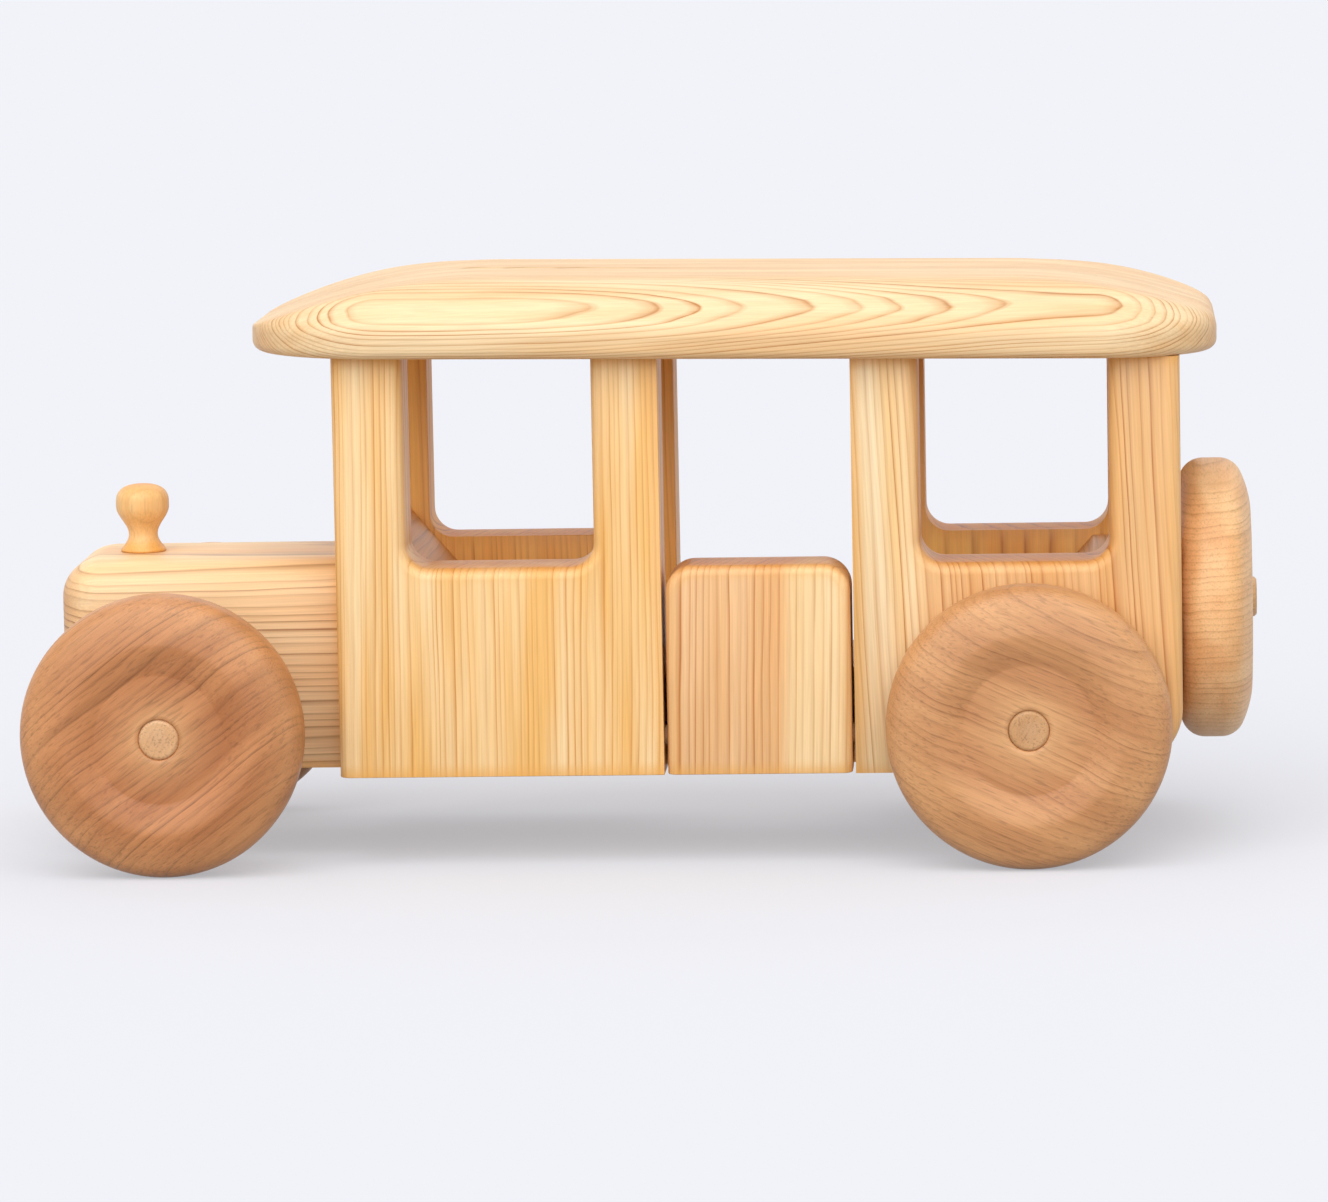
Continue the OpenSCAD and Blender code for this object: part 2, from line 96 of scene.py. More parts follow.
# One year's growth, as (share of the year, share of late wood)
YEAR_STOPS = ((0.0, 0.35), (0.07, 0.02), (0.58, 0.05), (0.84, 0.50), (0.94, 1.0), (1.0, 0.35))
# Patterns in the wood: width across the grain and length along it in mm, and how fine they are
SHIVER = dict(across=5.0, along=40.0, detail=1.5)
FADING = dict(across=4.0, along=50.0, detail=2.0)
STREAKS = dict(across=8.0, along=110.0, detail=2.5)
# Fibres and pores are finer than the picture shows, so they are drawn wider
FIBRES = dict(across=0.45, along=20.0, detail=2.0, roughness=0.6)
PORES = dict(across=0.45, along=4.5, detail=0.0)
# The part of a pattern's range that is used, as (low, high)
FADING_SPAN = (0.32, 0.62)
STREAK_SPAN = (0.36, 0.64)
FIBRE_SPAN = (0.25, 0.75)
PORE_SPAN = (0.60, 0.75)
# How the darkest and the palest fibres change the colour, as factors
FIBRE_SHADES = (0.89, 1.07)
# How far a ring shivers, as a share of its width
SHIVER_SHARE = 0.55
# How often good and lean years change over, in times a year
RUN_RATE = 0.31
# The faintest year's line, and any line where it fades most, as shares of its full strength
FAINTEST_LINE = 0.30
MOST_FADED = 0.55
# Half the width of the change from heartwood to sapwood, in mm
HEART_BLEND = 2.0
# Cut ends: how square-on a face starts to count as one, and how far its tint goes
END_STARTS = 0.45
END_SHARE = 0.75
# Openness inside the wood where the edge tint starts and where it is complete; the tint is rubbing wear,
# and on the wheels a painted highlight
WEAR_AND_HIGHLIGHT_SPAN = (0.97, 0.55)
# Roughness of spring wood and of late wood, and what rubbing adds to it
POLISH = (0.46, 0.38)
RUBBED_POLISH = -0.10
# How far late wood stands proud, against the fibres' own relief
LATE_RELIEF = 0.6
# The whole relief's height in mm, and how strongly it shows
RELIEF_HEIGHT = 0.1
RELIEF_STRENGTH = 0.3
# Index of refraction of the dried oil
OIL_IOR = 1.48


def patches(tree, log, across, along, detail, roughness=0.5):
    """Soft noise in the log, in patches of a width across the grain and a length along it, in mm."""
    scaled = add_node(
        tree, "ShaderNodeMapping", {"Vector": log, "Scale": (1 / across, 1 / across, 1 / along)}
    )
    noise = add_node(
        tree,
        "ShaderNodeTexNoise",
        {"Vector": scaled.outputs[0], "Scale": 1.0, "Detail": detail, "Roughness": roughness},
    )
    return noise.outputs["Fac"]


def wood(
    name,
    early,
    band,
    late,
    grain,
    pith,
    ring,
    end="#DDB890",
    wave=2.0,
    wave_length=120.0,
    sway=0.0,
    sway_length=150.0,
    uneven=1.5,
    contrast=1.0,
    pores=0.0,
    wear_and_highlight_share=0.9,
    heart=0.0,
    heart_tint="#F4DED0",
    wear_and_highlight_colour="#EAAA54",
    reach=4.0,
):
    """Oiled, sanded wood cut from a log.

    The grain runs along the vector grain, and the log's heart passes through the point pith.
    Growth rings are about ring apart, wander by wave over wave_length and swing by sway once in
    sway_length. All sizes are in mm. early, band and late are the colours of pale spring wood, of
    the broad deeper streaks in it and of the late-wood lines; end tints the cut ends. pores is how
    deep the pores come out. Edges rounded within reach are tinted towards the colour rub by the
    share gold: golden oil wear on boards, and on the wheels a paler painted highlight on the rims.
    Within the radius heart the wood is redder heartwood, tinted by heart_tint.
    """
    material = bpy.data.materials.new(name)
    material.use_nodes = True
    tree = material.node_tree
    tree.nodes.clear()
    turn = Vector(grain).to_track_quat("Z", "Y").to_euler()
    place = add_node(tree, "ShaderNodeTexCoord")
    in_mm = add_node(
        tree, "ShaderNodeVectorMath", {0: place.outputs["Object"], "Scale": 1 / MM}, operation="SCALE"
    )
    log = add_node(
        tree,
        "ShaderNodeMapping",
        {"Vector": in_mm.outputs[0], "Location": pith, "Rotation": turn},
        vector_type="TEXTURE",
    ).outputs[0]

    # Distance from the heart, bent by the trunk's slow swing, its wander and a small shiver
    across = add_node(tree, "ShaderNodeVectorMath", {0: log, 1: (1.0, 1.0, 0.0)}, operation="MULTIPLY")
    radius = add_node(tree, "ShaderNodeVectorMath", {0: across.outputs[0]}, operation="LENGTH")
    along = add_node(tree, "ShaderNodeSeparateXYZ", {0: log})
    swing = add_node(
        tree,
        "ShaderNodeMath",
        {0: along.outputs["Z"], 1: 2 * math.pi / sway_length},
        operation="MULTIPLY",
    )
    swung = add_node(tree, "ShaderNodeMath", {0: swing.outputs[0]}, operation="COSINE")
    swayed = add_node(
        tree,
        "ShaderNodeMath",
        {0: swung.outputs[0], 1: sway, 2: radius.outputs["Value"]},
        operation="MULTIPLY_ADD",
    )
    wander = patches(tree, log, across=wave_length / 3, along=wave_length, detail=2.0, roughness=0.4)
    wandered = add_node(
        tree,
        "ShaderNodeMath",
        {0: wander, 1: 2 * wave, 2: swayed.outputs[0]},
        operation="MULTIPLY_ADD",
    )
    shiver = patches(tree, log, **SHIVER)
    shivered = add_node(
        tree,
        "ShaderNodeMath",
        {0: shiver, 1: SHIVER_SHARE * ring, 2: wandered.outputs[0]},
        operation="MULTIPLY_ADD",
    )

    # Good and lean years come in runs, so the rings stand in wider and closer groups
    years = add_node(tree, "ShaderNodeMath", {0: shivered.outputs[0], 1: 1 / ring}, operation="MULTIPLY")
    runs = add_node(tree, "ShaderNodeMath", {0: years.outputs[0], 1: RUN_RATE}, operation="MULTIPLY")
    lean = add_node(
        tree,
        "ShaderNodeTexNoise",
        {"W": runs.outputs[0], "Scale": 1.0, "Detail": 1.0},
        noise_dimensions="1D",
    )
    aged = add_node(
        tree,
        "ShaderNodeMath",
        {0: lean.outputs["Fac"], 1: uneven, 2: years.outputs[0]},
        operation="MULTIPLY_ADD",
    )
    year = add_node(tree, "ShaderNodeMath", {0: aged.outputs[0]}, operation="FLOOR")
    part_of_year = add_node(tree, "ShaderNodeMath", {0: aged.outputs[0]}, operation="FRACT")
    chance = add_node(tree, "ShaderNodeTexWhiteNoise", {"W": year.outputs[0]}, noise_dimensions="1D")

    # Pale spring wood darkens into a thin line of late wood, which ends sharply and fades in places
    line = add_node(tree, "ShaderNodeValToRGB", {"Fac": part_of_year.outputs[0]})
    stops = line.color_ramp.elements
    while len(stops) < len(YEAR_STOPS):
        stops.new(1.0)
    for stop, (share, grey) in zip(stops, YEAR_STOPS):
        stop.position = share
        stop.color = (grey, grey, grey, 1.0)
    strength = add_node(
        tree,
        "ShaderNodeMapRange",
        {"Value": chance.outputs["Value"], "To Min": FAINTEST_LINE * contrast, "To Max": contrast},
    )
    strong_line = add_node(
        tree, "ShaderNodeMath", {0: line.outputs["Color"], 1: strength.outputs[0]}, operation="MULTIPLY"
    )
    faded = add_node(
        tree,
        "ShaderNodeMapRange",
        {
            "Value": patches(tree, log, **FADING),
            "From Min": FADING_SPAN[0],
            "From Max": FADING_SPAN[1],
            "To Min": MOST_FADED,
            "To Max": 1.0,
        },
    )
    late_share = add_node(
        tree, "ShaderNodeMath", {0: strong_line.outputs[0], 1: faded.outputs[0]}, operation="MULTIPLY"
    )
    streak_share = add_node(
        tree,
        "ShaderNodeMapRange",
        {
            "Value": patches(tree, log, **STREAKS),
            "From Min": STREAK_SPAN[0],
            "From Max": STREAK_SPAN[1],
        },
    )
    spring = add_node(
        tree,
        "ShaderNodeMix",
        {"Factor": streak_share.outputs[0], "A": linear(early), "B": linear(band)},
        data_type="RGBA",
    )
    ringed = add_node(
        tree,
        "ShaderNodeMix",
        {"Factor": late_share.outputs[0], "A": spring.outputs["Result"], "B": linear(late)},
        data_type="RGBA",
    )

    # Redder heartwood inside, pale sapwood outside
    heart_share = add_node(
        tree,
        "ShaderNodeMapRange",
        {
            "Value": shivered.outputs[0],
            "From Min": heart + HEART_BLEND,
            "From Max": heart - HEART_BLEND,
        },
    )
    hearted = add_node(
        tree,
        "ShaderNodeMix",
        {"Factor": heart_share.outputs[0], "A": ringed.outputs["Result"], "B": linear(heart_tint)},
        data_type="RGBA",
        blend_type="MULTIPLY",
    )

    # Cut ends drink more oil and come out browner
    facing = add_node(
        tree,
        "ShaderNodeVectorMath",
        {0: place.outputs["Normal"], 1: Vector(grain).normalized()},
        operation="DOT_PRODUCT",
    )
    square_on = add_node(tree, "ShaderNodeMath", {0: facing.outputs["Value"]}, operation="ABSOLUTE")
    end_share = add_node(
        tree,
        "ShaderNodeMapRange",
        {"Value": square_on.outputs[0], "From Min": END_STARTS, "From Max": 1.0, "To Max": END_SHARE},
    )
    ended = add_node(
        tree,
        "ShaderNodeMix",
        {"Factor": end_share.outputs[0], "A": hearted.outputs["Result"], "B": linear(end)},
        data_type="RGBA",
        blend_type="MULTIPLY",
    )

    # Edges where the wood within reach is thin are tinted: on boards golden oil wear from hands, which
    # also polishes them smoother; where rub is paler than the wood, as on the wheels, it is a painted
    # highlight
    thin = add_node(
        tree,
        "ShaderNodeAmbientOcclusion",
        {"Distance": reach * MM},
        samples=4,
        inside=True,
        only_local=True,
    )
    wear_and_highlight = add_node(
        tree,
        "ShaderNodeMapRange",
        {
            "Value": thin.outputs["AO"],
            "From Min": WEAR_AND_HIGHLIGHT_SPAN[0],
            "From Max": WEAR_AND_HIGHLIGHT_SPAN[1],
            "To Max": wear_and_highlight_share,
        },
    )
    rubbed_and_highlit = add_node(
        tree,
        "ShaderNodeMix",
        {"Factor": wear_and_highlight.outputs[0], "A": ended.outputs["Result"], "B": linear(wear_and_highlight_colour)},
        data_type="RGBA",
    )

    # Fibres shade the wood a little, and open pores darken it
    shade = add_node(
        tree,
        "ShaderNodeMapRange",
        {
            "Value": patches(tree, log, **FIBRES),
            "From Min": FIBRE_SPAN[0],
            "From Max": FIBRE_SPAN[1],
            "To Min": FIBRE_SHADES[0],
            "To Max": FIBRE_SHADES[1],
        },
    )
    pore_depth = add_node(
        tree,
        "ShaderNodeMapRange",
        {
            "Value": patches(tree, log, **PORES),
            "From Min": PORE_SPAN[0],
            "From Max": PORE_SPAN[1],
            "To Min": 1.0,
            "To Max": 1.0 - pores,
        },
    )
    tone = add_node(
        tree, "ShaderNodeMath", {0: shade.outputs[0], 1: pore_depth.outputs[0]}, operation="MULTIPLY"
    )
    colour = add_node(
        tree,
        "ShaderNodeVectorMath",
        {0: rubbed_and_highlit.outputs["Result"], "Scale": tone.outputs[0]},
        operation="SCALE",
    )

    # Late wood is harder: it polishes a little more and stands proud of the sanded spring wood
    polish = add_node(
        tree,
        "ShaderNodeMapRange",
        {"Value": late_share.outputs[0], "To Min": POLISH[0], "To Max": POLISH[1]},
    )
    roughness = add_node(
        tree,
        "ShaderNodeMath",
        {0: wear_and_highlight.outputs[0], 1: RUBBED_POLISH, 2: polish.outputs[0]},
        operation="MULTIPLY_ADD",
    )
    relief = add_node(
        tree,
        "ShaderNodeMath",
        {0: late_share.outputs[0], 1: LATE_RELIEF, 2: tone.outputs[0]},
        operation="MULTIPLY_ADD",
    )
    bump = add_node(
        tree,
        "ShaderNodeBump",
        {"Height": relief.outputs[0], "Strength": RELIEF_STRENGTH, "Distance": RELIEF_HEIGHT * MM},
    )
    shader = add_node(
        tree,
        "ShaderNodeBsdfPrincipled",
        {
            "Base Color": colour.outputs[0],
            "Roughness": roughness.outputs[0],
            "Normal": bump.outputs[0],
            "IOR": OIL_IOR,
        },
    )
    add_node(tree, "ShaderNodeOutputMaterial", {"Surface": shader.outputs[0]})
    return material


# Larch boards, planed and oiled: honey spring wood with thin orange late-wood lines that stand upright
front_left_larch = wood(
    "larch_standing_front_left",
    early="#F8D6A0",
    band="#F0BA6C",
    late="#C9822E",
    grain=(0.01, 0.0, 1.0),
    pith=(-330.0, 30.0, 0.0),
    ring=1.7,
    uneven=2.4,
    contrast=1.2,
)
rear_left_larch = wood(
    "larch_standing_rear_left",
    early="#FBE0B2",
    band="#F5CC8E",
    late="#C07C34",
    grain=(-0.05, 0.0, 1.0),
    pith=(330.0, 60.0, 0.0),
    ring=2.0,
    uneven=2.0,
    contrast=1.4,
    heart=279.0,
    heart_tint="#EFD9C2",
)
# The right side's boards are painted a deeper, more saturated orange than the left's, as their inner
# faces look in the cabin's shade; the rear one has broad stripes
orange = dict(early="#FFCC70", band="#FAB85A", late="#BE7024")
front_right_larch = wood(
    "larch_shaded_orange_front_right", **orange, grain=(-0.02, 0.0, 1.0), pith=(-260.0, 90.0, 0.0), ring=2.0
)
rear_right_larch = wood(
    "larch_shaded_orange_striped",
    **orange,
    grain=(0.0, 0.0, 1.0),
    pith=(260.0, 90.0, 0.0),
    ring=6.0,
    contrast=1.4,
)

# Larch door: fine lines, pinkish heartwood with a pale strip of sapwood along its rear edge
door_larch = wood(
    "larch_door_heart_and_sap",
    early="#FBDEAC",
    band="#F6CE92",
    late="#C48544",
    grain=(0.02, 0.0, 1.0),
    pith=(-150.0, 10.0, 0.0),
    ring=2.0,
    wave=1.0,
    contrast=1.2,
    heart=194.0,
)

# Larch roof, flat-sawn on a slant: the crown cuts the rings into loops that run out to the rear
roof_larch = wood(
    "larch_flat_sawn_roof",
    early="#F0D3A5",
    band="#EAC18C",
    late="#B87A38",
    end="#FBF0E0",
    grain=(1.0, 0.0, 0.04),
    pith=(-12.0, -70.0, 172.8),
    ring=1.0,
    wave=0.6,
    wave_length=60.0,
    sway=-1.6,
    sway_length=200.0,
    uneven=0.9,
    contrast=1.5,
    wear_and_highlight_share=0.2,
)

# Larch bonnet: dark lines lie along its sides and wrap round the front corner
bonnet_larch = wood(
    "larch_lying_bonnet",
    early="#FAD8A8",
    band="#F5C892",
    late="#985F2E",
    grain=(1.0, 0.0, 0.02),
    pith=(0.0, 20.0, -120.0),
    ring=2.0,
    wave=1.4,
    contrast=1.3,
)

# Larch blocks inside: mostly end grain, so browner and duller
inner_larch = wood(
    "larch_cross_grain_blocks",
    early="#E8B67E",
    band="#D9A26A",
    late="#B07843",
    grain=(0.0, 1.0, 0.0),
    pith=(-60.0, 0.0, -40.0),
    ring=2.4,
)
floor_larch = wood(
    "larch_floor_board",
    early="#F2C990",
    band="#E6B57A",
    late="#BE8448",
    grain=(1.0, 0.0, 0.0),
    pith=(0.0, 15.0, -60.0),
    ring=2.6,
)

# Alder wheels, turned and oiled: red-brown and close-grained, with soft rings and short dark pores
# On the wheels the edge tint is paler than the wood and spreads 12 mm round the tread: a painted
# highlight on the rims
alder = dict(end="#FFF6EA", pores=0.2, wear_and_highlight_share=0.65, wear_and_highlight_colour="#EBB880", reach=12.0)
brown = dict(early="#C6834F", band="#AE6B3A", late="#824C22", wave=5.0, contrast=1.3)
tawny = dict(early="#CF9561", band="#BD8150", late="#925A2C", wave=3.0)
front_left_alder = wood(
    "alder_front_left", **alder, **brown, grain=(0.80, 0.05, 0.60), pith=(-160.0, -20.0, 140.0), ring=2.4
)
rear_left_alder = wood(
    "alder_rear_left", **alder, **tawny, grain=(0.92, 0.05, -0.40), pith=(60.0, -10.0, -90.0), ring=2.4
)
front_right_alder = wood(
    "alder_front_right", **alder, **tawny, grain=(0.2, 0.05, 0.98), pith=(-240.0, 30.0, 0.0), ring=3.0
)
rear_right_alder = wood(
    "alder_rear_right", **alder, **brown, grain=(0.98, 0.05, 0.2), pith=(0.0, 30.0, 160.0), ring=3.0
)
spare_alder = wood(
    "alder_pale_spare",
    early="#F3C690",
    band="#E8B27A",
    late="#BE8349",
    end="#FFF4E8",
    grain=(0.0, 1.0, 0.05),
    pith=(142.0, 0.0, -260.0),
    ring=1.6,
    wave=3.0,
    contrast=0.8,
    pores=0.15,
    wear_and_highlight_share=0.3,
)

# Birch dowels: pale and even, with faint rings and speckled cut ends
dowel = dict(ring=1.3, contrast=0.6, pores=0.25, wear_and_highlight_share=0.15, end="#F8EADA")
front_birch = wood(
    "birch_front_dowels",
    **dowel,
    early="#E2BC94",
    band="#D8AE84",
    late="#BC9064",
    grain=(0.0, 1.0, 0.0),
    pith=(-80.0, 0.0, 12.0),
)
rear_birch = wood(
    "birch_rear_axle",
    **dowel,
    early="#D0A87E",
    band="#C4996E",
    late="#A87C52",
    grain=(0.0, 1.0, 0.0),
    pith=(70.0, 0.0, 50.0),
)
peg_birch = wood(
    "birch_peg",
    **dowel,
    early="#DDB586",
    band="#D0A473",
    late="#B48757",
    grain=(1.0, 0.0, 0.0),
    pith=(0.0, 30.0, 20.0),
)
cap_birch = wood(
    "birch_turned_cap",
    early="#F6CC90",
    band="#EDB975",
    late="#D39A58",
    end="#F0D6B0",
    grain=(0.0, 0.0, 1.0),
    pith=(-150.0, 60.0, 0.0),
    ring=2.2,
    wave=1.0,
    contrast=0.6,
    pores=0.1,
)


def link_mesh(name, mesh):
    """A new object in the scene that shows a mesh."""
    made = bpy.data.objects.new(name, mesh)
    bpy.context.scene.collection.objects.link(made)
    return made


def mesh_from(name, work):
    """A plain mesh object made from a bmesh, with smooth faces that point outwards."""
    bmesh.ops.recalc_face_normals(work, faces=work.faces)
    mesh = bpy.data.meshes.new(name)
    work.to_mesh(mesh)
    work.free()
    mesh.shade_smooth()
    return link_mesh(name, mesh)


def plain_result(piece):
    """Turns a piece with modifiers into a plain mesh object."""
    bpy.context.view_layer.update()
    solved = piece.evaluated_get(bpy.context.evaluated_depsgraph_get())
    mesh = bpy.data.meshes.new_from_object(solved)
    piece.modifiers.clear()
    piece.data = mesh
    return piece


def finish_piece(piece, node, material):
    """The piece stands for a CAD node: it rides on the node's body and takes its slot."""
    piece.data.materials.clear()
    piece.data.materials.append(material)
    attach(piece, BODY_OF[node])
    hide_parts(node)


# Sanding: width of the round on an edge and steps across it; only edges past the sharp angle get one
SANDED_EDGE = 0.5
SANDING_STEPS = 3
SHARP_ANGLE = math.radians(40)
# Before it, points this near are welded and faces that meet this flat are joined; lengths in mm
WELD = 0.002
FLAT_ANGLE = math.radians(0.5)


def sanded_board(node):
    """A copy of a CAD node whose sharp edges are sanded to a small round."""
    work = bmesh.new()
    work.from_mesh(NODES[node].data)
    bmesh.ops.remove_doubles(work, verts=work.verts, dist=WELD * MM)
    bmesh.ops.dissolve_limit(work, angle_limit=FLAT_ANGLE, verts=work.verts, edges=work.edges)
    piece = mesh_from(node + "_sanded", work)
    sanding = piece.modifiers.new("sanding", "BEVEL")
    sanding.width = SANDED_EDGE * MM
    sanding.segments = SANDING_STEPS
    sanding.limit_method = "ANGLE"
    sanding.angle_limit = SHARP_ANGLE
    sanding.harden_normals = True
    return plain_result(piece)


def arc(centre, radius, start, stop, steps):
    """Points on an arc from angle start to stop, in degrees."""
    angles = [math.radians(start + (stop - start) * i / steps) for i in range(steps + 1)]
    return [(centre[0] + radius * math.cos(a), centre[1] + radius * math.sin(a)) for a in angles]


# Lathe: sweeps a section round its axis on a small circle of this radius, in mm
SPINDLE = 1.0
# Points on the axis that meet within this distance are welded, in mm
LATHE_WELD = 0.001
# Steps once round a wheel, and round a thinner piece
WHEEL_STEPS = 144
SMALL_STEPS = 72

lathe = bpy.data.node_groups.new("lathe", "GeometryNodeTree")
lathe.interface.new_socket("Section", in_out="INPUT", socket_type="NodeSocketGeometry")
STEPS_INPUT = lathe.interface.new_socket("Steps", in_out="INPUT", socket_type="NodeSocketInt").identifier
FINISH_INPUT = lathe.interface.new_socket(
    "Finish", in_out="INPUT", socket_type="NodeSocketMaterial"
).identifier
lathe.interface.new_socket("Turned", in_out="OUTPUT", socket_type="NodeSocketGeometry")
blank = add_node(lathe, "NodeGroupInput")
section = add_node(lathe, "GeometryNodeMeshToCurve", {"Mesh": blank.outputs["Section"]})
circle = add_node(
    lathe,
    "GeometryNodeCurvePrimitiveCircle",
    {"Resolution": blank.outputs["Steps"], "Radius": SPINDLE * MM},
)
swept = add_node(
    lathe, "GeometryNodeCurveToMesh", {"Curve": circle.outputs[0], "Profile Curve": section.outputs[0]}
)
closed = add_node(
    lathe, "GeometryNodeMergeByDistance", {"Geometry": swept.outputs[0], "Distance": LATHE_WELD * MM}
)
smooth = add_node(lathe, "GeometryNodeSetShadeSmooth", {0: closed.outputs[0]})
realized = add_node(lathe, "GeometryNodeRealizeInstances", {0: smooth.outputs[0]})
finished = add_node(
    lathe,
    "GeometryNodeSetMaterial",
    {"Geometry": realized.outputs[0], "Material": blank.outputs["Finish"]},
)
add_node(lathe, "NodeGroupOutput", {"Turned": finished.outputs[0]})


def turned(node, points, looped, place, material, steps=SMALL_STEPS):
    """A lathe-turned piece in place of a CAD node.

    points are (radius, height) in mm, and place puts the piece on the bus.
    """
    mesh = bpy.data.meshes.new(node + "_turned")
    corners = [((radius - SPINDLE) * MM, -height * MM, 0.0) for radius, height in points]
    edges = [(i, i + 1) for i in range(len(corners) - 1)]
    if looped:
        edges.append((len(corners) - 1, 0))
    mesh.from_pydata(corners, edges, [])
    piece = link_mesh(node + "_turned", mesh)
    turning = piece.modifiers.new("turning", "NODES")
    turning.node_group = lathe
    turning[STEPS_INPUT] = steps
    turning[FINISH_INPUT] = material
    plain_result(piece)
    work = bmesh.new()
    work.from_mesh(piece.data)
    bmesh.ops.transform(work, matrix=place, verts=work.verts)
    bmesh.ops.recalc_face_normals(work, faces=work.faces)
    work.to_mesh(piece.data)
    work.free()
    finish_piece(piece, node, material)


def along_axis(middle, axis):
    """A place at middle, with the turned piece's axis along axis."""
    return Matrix.Translation(middle) @ Vector(axis).to_track_quat("Z", "X").to_matrix().to_4x4()


# Wheels, axles and spacers: sizes of the turned sections, in mm
WHEEL_RADIUS = 35.0
WHEEL_WIDTH = 18.0
TREAD_RADIUS = 6.0
TREAD_FLAT = 4.0
HUB_RADIUS = 20.0
DISH_RADIUS = 16.0
DISH_DEPTH = 2.0
BORE_RADIUS = 5.05
BORE_CHAMFER = 0.35
LIP_RADIUS = 24.0
LIP_CREST_RADIUS = 22.0
EDGE_STEPS = 12
LIP_STEPS = 16
AXLE_RADIUS = 5.0
AXLE_CHAMFER = 0.6
SPACER_RADIUS = 9.0
SPACER_BORE = 5.1
SPACER_CHAMFER = 0.4
# Radii of rings on the flat faces, which keep these flat under smooth shading
INNER_FACE_RINGS = (6.5, 27.0)
DISH_RINGS = (15.75, 14.0, 6.25)
AXLE_END_RING = 4.0


def wheel_section():
    """Closed section of a wheel, from its flat inner face round the tread to the dished hub."""
    tread_centre = WHEEL_RADIUS - TREAD_RADIUS
    outer_height = TREAD_RADIUS + TREAD_FLAT
    reach = tread_centre - HUB_RADIUS
    rise = WHEEL_WIDTH - outer_height
    face_radius = (reach**2 + rise**2 - TREAD_RADIUS**2) / (2 * (rise - TREAD_RADIUS))
    shoulder = math.degrees(math.atan2(face_radius - rise, reach))
    floor = WHEEL_WIDTH - DISH_DEPTH
    inner_face = [(BORE_RADIUS, BORE_CHAMFER), (BORE_RADIUS + BORE_CHAMFER, 0.0)]
    inner_face += [(radius, 0.0) for radius in INNER_FACE_RINGS]
    inner_edge = arc((tread_centre, TREAD_RADIUS), TREAD_RADIUS, 270, 360, EDGE_STEPS)
    outer_edge = arc((tread_centre, outer_height), TREAD_RADIUS, 0, shoulder, EDGE_STEPS)
    lip_angle = math.degrees(math.acos((LIP_RADIUS - HUB_RADIUS) / face_radius))
    face_centre = (HUB_RADIUS, WHEEL_WIDTH - face_radius)
    face = arc(face_centre, face_radius, shoulder, lip_angle, EDGE_STEPS)[1:]
    lip_start = Vector(face[-1])
    lip_stop = Vector((DISH_RADIUS, floor))
    crest_rise = (LIP_RADIUS - LIP_CREST_RADIUS) / math.tan(math.radians(lip_angle))
    lip_crest = Vector((LIP_CREST_RADIUS, lip_start.y + crest_rise))
    lip = []
    for i in range(1, LIP_STEPS + 1):
        t = i / LIP_STEPS
        point = (1 - t) ** 2 * lip_start + 2 * t * (1 - t) * lip_crest + t**2 * lip_stop
        lip.append((point.x, point.y))
    dish = [(radius, floor) for radius in DISH_RINGS]
    bore = [(BORE_RADIUS + BORE_CHAMFER, floor), (BORE_RADIUS, floor - BORE_CHAMFER)]
    return inner_face + inner_edge + outer_edge + face + lip + dish + bore


def place_wheel(node, axis, material):
    """A wheel whose dished side looks along axis."""
    low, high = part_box(node)
    foot = (low + high) / 2 - Vector(axis) * WHEEL_WIDTH / 2 * MM
    turned(node, wheel_section(), True, along_axis(foot, axis), material, WHEEL_STEPS)


def place_dowel(node, axis, material):
    """A dowel with a fine chamfer on both ends."""
    low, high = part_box(node)
    half = max(high - low) / 2 / MM
    rim = AXLE_RADIUS - AXLE_CHAMFER
    end = [(0.0, half), (AXLE_END_RING, half), (rim, half), (AXLE_RADIUS, half - AXLE_CHAMFER)]
    points = end + [(radius, -height) for radius, height in reversed(end)]
    turned(node, points, False, along_axis((low + high) / 2, axis), material)


def place_spacer(node, axis, material):
    """A short collar round an axle, with a fine chamfer on its four edges."""
    low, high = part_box(node)
    half = (high.y - low.y) / 2 / MM
    cut = SPACER_CHAMFER
    upper = [
        (SPACER_BORE, half - 2 * cut),
        (SPACER_BORE, half - cut),
        (SPACER_BORE + cut, half),
        (SPACER_BORE + 2 * cut, half),
        (SPACER_RADIUS - 2 * cut, half),
        (SPACER_RADIUS - cut, half),
        (SPACER_RADIUS, half - cut),
        (SPACER_RADIUS, half - 2 * cut),
    ]
    points = upper + [(radius, -height) for radius, height in reversed(upper)]
    turned(node, points, True, along_axis((low + high) / 2, axis), material)


# Directions on the bus, and the turned pieces that lie or look along them
LEFT = (0, -1, 0)
RIGHT = (0, 1, 0)
REAR = (1, 0, 0)
UP = (0, 0, 1)
place_wheel("front_left_wheel", LEFT, front_left_alder)
place_wheel("front_right_wheel", RIGHT, front_right_alder)
place_wheel("rear_left_wheel", LEFT, rear_left_alder)
place_wheel("rear_right_wheel", RIGHT, rear_right_alder)
place_wheel("spare_wheel", REAR, spare_alder)
place_dowel("front_axle", LEFT, front_birch)
place_dowel("rear_axle", LEFT, rear_birch)
place_dowel("spare_wheel_peg", REAR, peg_birch)
place_spacer("front_left_spacer", LEFT, front_birch)
place_spacer("front_right_spacer", RIGHT, front_birch)

# Bonnet cap: radii and heights above the bonnet of its turned section, in mm
CAP_TENON_RADIUS = 3.0
CAP_TENON_LENGTH = 12.0
CAP_FOOT_RADIUS = 5.7
CAP_FOOT_HEIGHT = 0.6
CAP_NECK_RADIUS = 3.65
CAP_NECK_HEIGHT = 4.4
CAP_HEAD_RADIUS = 6.7
CAP_HEAD_HEIGHT = 11.5
CAP_DOME_HEIGHT = 12.3
CAP_HEIGHT = 17.1
# How square the dome is: 2 is an ellipse, and more is flatter on top
CAP_DOME_POWER = 2.6
# How far the foot's lower edge is cut off, inwards and upwards
CAP_FOOT_CUT = (0.3, 0.2)
CAP_STEPS = 16


